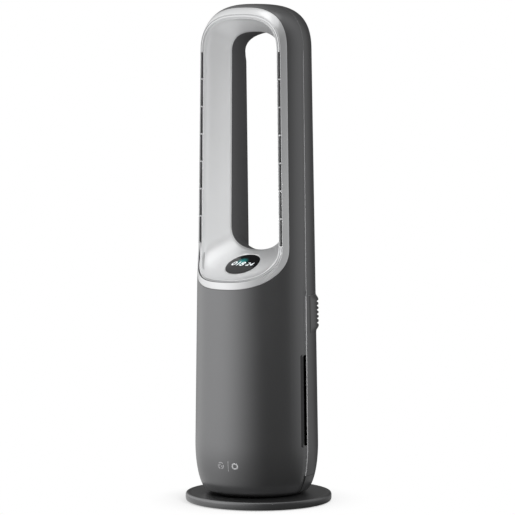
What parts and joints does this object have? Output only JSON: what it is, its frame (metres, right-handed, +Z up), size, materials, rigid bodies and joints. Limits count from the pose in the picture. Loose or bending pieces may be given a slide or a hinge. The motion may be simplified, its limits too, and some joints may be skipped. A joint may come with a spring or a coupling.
{
  "type": "air purifier fan",
  "caption": "Tall air purifier fan: slim tower with an open outlet loop, turning on a round base, with a removable rear cover and a round filter.",
  "frame": {"origin": "centre of the base at the level of the floor", "axes": "+Z up, front with the outlet slots facing -Y, +X to the right seen from the front"},
  "size_m": [0.31, 0.31, 1.05],
  "materials": {
    "dark_housing": "satin dark grey, fine grain",
    "black_plastic": "matte near-black",
    "silver_plastic": "silver metallic lacquer",
    "display_gloss": "polished black",
    "grey_plastic": "moulded mid grey",
    "rubber": "matte",
    "steel": "zinc plated",
    "windings": "enamelled copper on laminated steel",
    "circuit_board": "lacquered board",
    "filter_paper": "pleated filter paper"
  },
  "bodies": {
    "base": {"base_cover": "dark_housing", "base_plate": "black_plastic", "foot_1": "rubber", "foot_2": "rubber", "foot_3": "rubber", "foot_4": "rubber", "base_weight": "steel", "base_screw_1": "steel", "base_screw_2": "steel", "base_screw_3": "steel", "base_screw_4": "steel", "slide_ring": "grey_plastic", "swivel_gear": "grey_plastic", "power_inlet": "rubber"},
    "tower": {"turntable": "grey_plastic", "retainer_ring": "grey_plastic", "lower_tub": "dark_housing", "front_shell": "dark_housing", "rear_housing": "dark_housing", "outlet_frame": "silver_plastic", "outlet_ring": "silver_plastic", "inner_liner": "silver_plastic", "left_nozzle": "black_plastic", "right_nozzle": "black_plastic", "display_lens": "display_gloss", "display_board": "circuit_board", "chassis": "black_plastic", "bellmouth": "grey_plastic", "bellmouth_seal": "rubber", "fan_housing": "grey_plastic", "diffuser": "grey_plastic", "flow_divider": "grey_plastic", "motor_mount": "rubber", "motor_case": "steel", "motor_cap": "steel", "motor_stator": "windings", "lower_bearing": "steel", "upper_bearing": "steel", "main_board": "circuit_board", "power_supply": "black_plastic", "air_sensor": "black_plastic", "swivel_motor": "steel", "cover_magnet_left": "steel", "cover_magnet_right": "steel"},
    "fan": {"impeller": "grey_plastic", "motor_rotor": "steel"},
    "pinion": {"swivel_pinion": "grey_plastic"},
    "cover": {"filter_cover": "dark_housing", "cover_grip": "dark_housing"},
    "filter": {"filter_media": "filter_paper", "filter_top_cap": "grey_plastic", "filter_bottom_cap": "grey_plastic", "filter_tab": "black_plastic"}
  },
  "joints": [
    {"name": "tower_swivel", "type": "hinge", "parent": "base", "child": "tower", "pos_m": [0, -0.006, 0.02], "axis": [0, 0, 1], "range_deg": [-175, 175]},
    {"name": "fan_spin", "type": "hinge", "parent": "tower", "child": "fan", "pos_m": [0, -0.006, 0.37], "axis": [0, 0, 1], "continuous": true},
    {"name": "pinion_turn", "type": "hinge", "parent": "tower", "child": "pinion", "pos_m": [0, 0.03, 0.012], "axis": [0, 0, 1], "range_deg": [-526, 526]},
    {"name": "cover_off", "type": "slide", "parent": "tower", "child": "cover", "axis": [0, 1, 0], "range_m": [0, 0.3]},
    {"name": "filter_out", "type": "slide", "parent": "tower", "child": "filter", "axis": [0, 1, 0], "range_m": [0, 0.24]}
  ],
  "couplings": [
    {"joint": "pinion_turn", "follows": "tower_swivel", "ratio": 3},
    {"joint": "filter_out", "follows": "cover_off", "ratio": 0.8}
  ]
}
